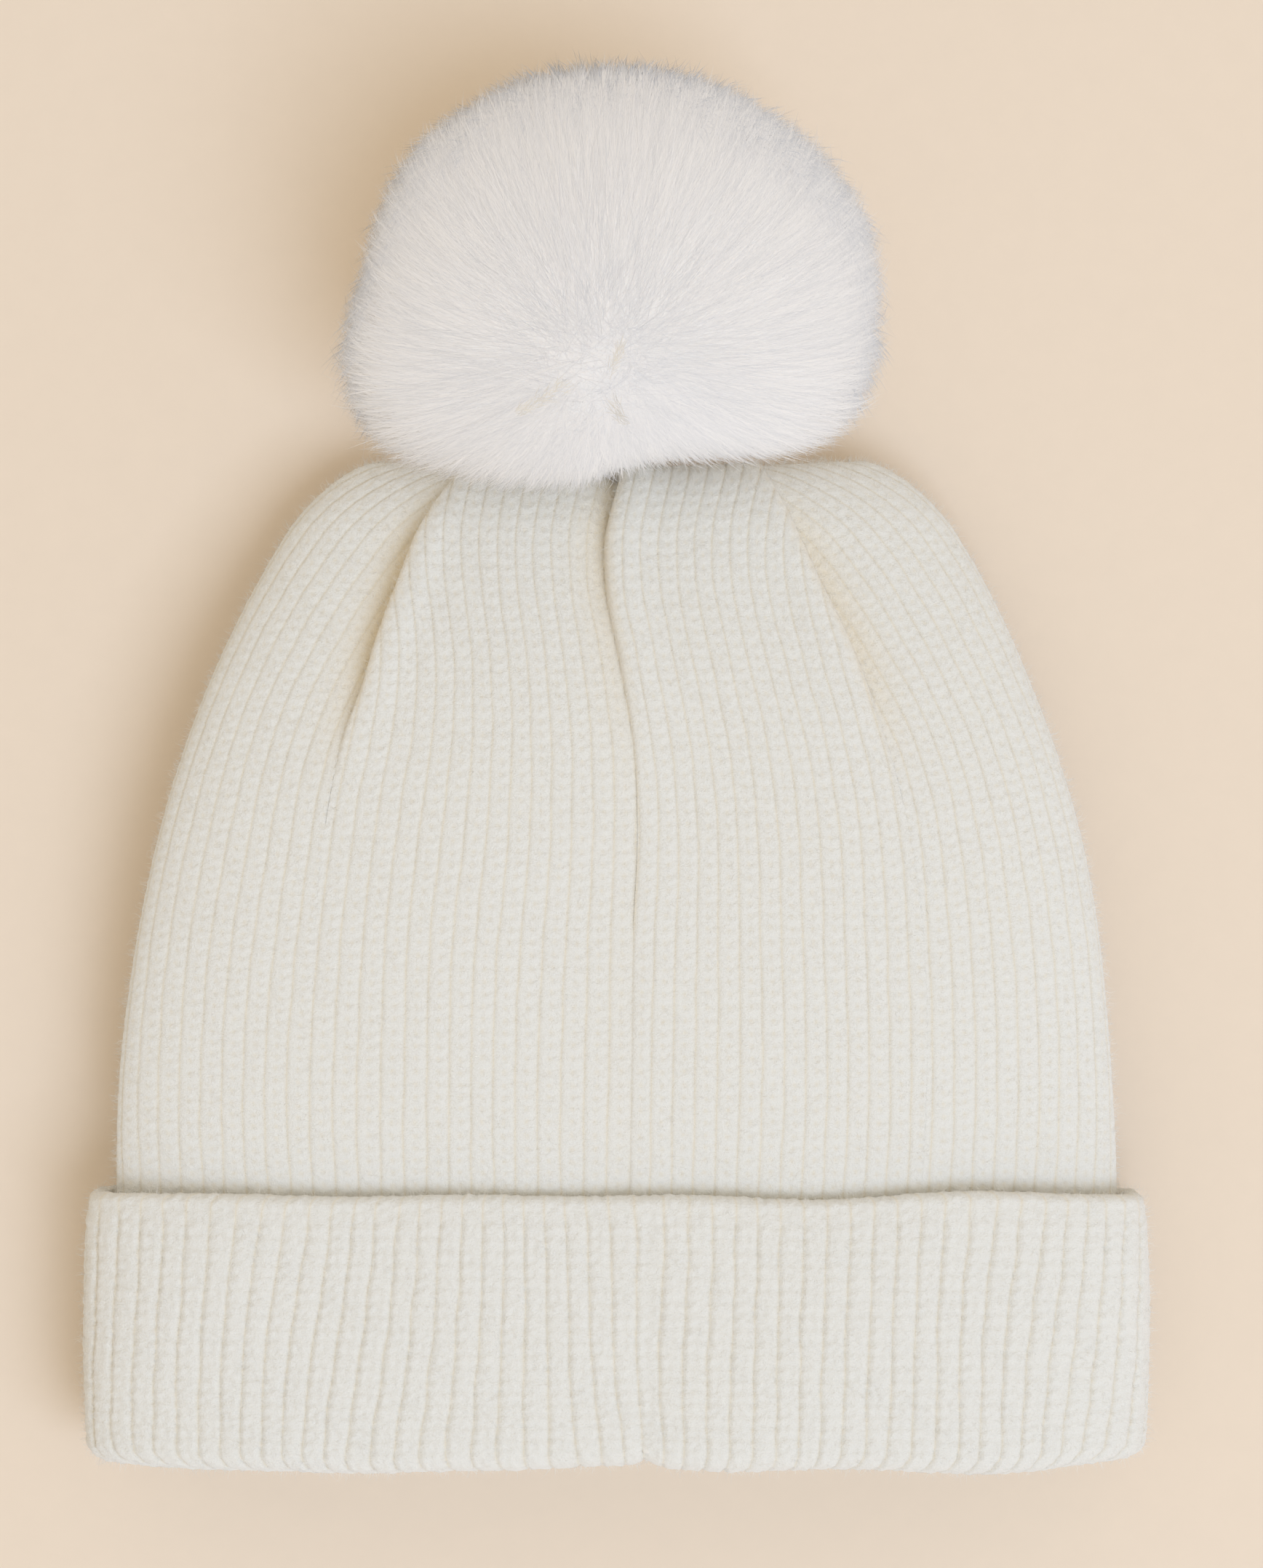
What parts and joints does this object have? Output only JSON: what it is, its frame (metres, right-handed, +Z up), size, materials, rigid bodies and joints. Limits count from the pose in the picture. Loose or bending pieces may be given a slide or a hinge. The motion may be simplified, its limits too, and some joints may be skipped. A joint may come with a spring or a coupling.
{
  "type": "pom pom beanie",
  "caption": "Rib-knit winter beanie with a turned-up cuff, gathered crown and large fur pompom on a thread shank, lying flat with its back up.",
  "frame": {"origin": "centre of the whole object's footprint, on the surface that the hat lies on", "axes": "+Z up off the surface, out of the hat's back; +Y from the cuff towards the pompom; +X across the hat to the right as seen from above"},
  "size_m": [0.23, 0.3, 0.094],
  "materials": {
    "knit": "soft brushed rib knit, matt and slightly fuzzy",
    "seam_yarn": "twisted yarn stitches",
    "felt": "pressed felt",
    "button": "plain matt moulded plastic",
    "thread": "waxed sewing thread",
    "label": "blank woven satin tape",
    "backing": "knitted fur backing",
    "stuffing": "loose polyester fill",
    "fur": "long soft straight pile, cool white"
  },
  "bodies": {
    "hat": {"knit_body": "knit", "turn_up_cuff": "knit", "body_back_seam": "seam_yarn", "cuff_back_seam": "seam_yarn", "crown_dart_seams": "seam_yarn", "crown_gather_yarn": "seam_yarn", "crown_patch": "felt", "anchor_button": "button", "tie_thread": "thread", "care_label": "label"},
    "shank": {"pom_shank": "thread"},
    "pompom": {"pom_pile": "fur", "pom_base_disc": "button", "pom_backing": "backing", "pom_stuffing": "stuffing", "pom_gather_cord": "thread"}
  },
  "joints": [
    {"name": "pom_swing", "type": "hinge", "parent": "hat", "child": "shank", "pos_m": [0, 0.0706, 0.013], "axis": [0, 0, 1], "range_deg": [-20, 20]},
    {"name": "pom_lift", "type": "hinge", "parent": "shank", "child": "pompom", "pos_m": [0, 0.0781, 0.02422], "axis": [1, 0, 0], "range_deg": [0, 25]}
  ]
}
